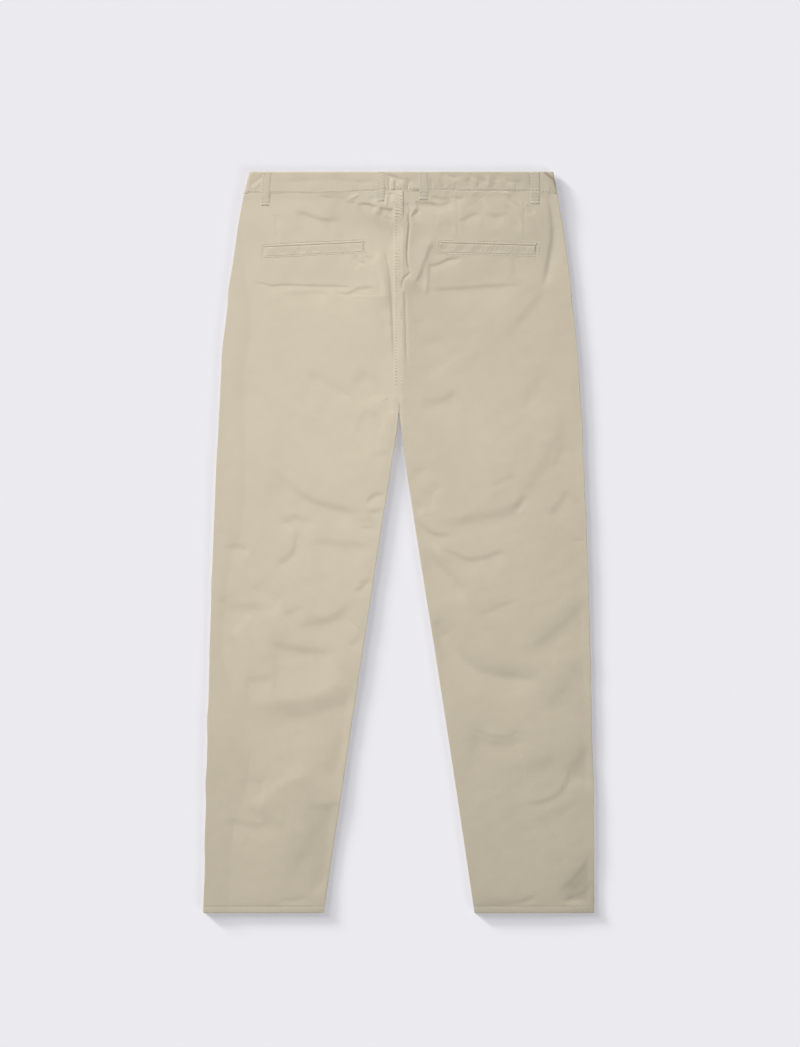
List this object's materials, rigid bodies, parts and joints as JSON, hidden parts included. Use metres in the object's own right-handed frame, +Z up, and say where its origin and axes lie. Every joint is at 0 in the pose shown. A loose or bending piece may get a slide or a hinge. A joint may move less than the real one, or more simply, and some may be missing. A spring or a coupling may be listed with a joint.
{
  "type": "chino trousers laid flat",
  "caption": "Beige cotton chino trousers lying flat with the back up: waistband, belt loops, welted back pockets, tapered legs and soft creases.",
  "frame": {"origin": "middle of the trousers' own rectangle, on the surface they lie on", "axes": "+X towards the wearer's right, +Y towards the waist, +Z up, out of the back of the trousers"},
  "size_m": [0.5535, 1.05, 0.0101],
  "materials": {
    "cloth": "matt cotton twill",
    "band_cloth": "matt cotton twill, doubled",
    "thread": "matt sewing thread",
    "button": "polished horn-like resin"
  },
  "bodies": {
    "root": {"back_left": "cloth", "back_right": "cloth", "front_left": "cloth", "front_right": "cloth", "pocket_facing_left": "cloth", "pocket_facing_right": "cloth", "waistband": "band_cloth", "belt_loop_side_left": "band_cloth", "belt_loop_back_left": "band_cloth", "belt_loop_back_right": "band_cloth", "belt_loop_side_right": "band_cloth", "belt_loop_front_left": "band_cloth", "belt_loop_front_right": "band_cloth", "welt_left": "cloth", "welt_right": "cloth", "waist_button": "button"}
  },
  "joints": []
}
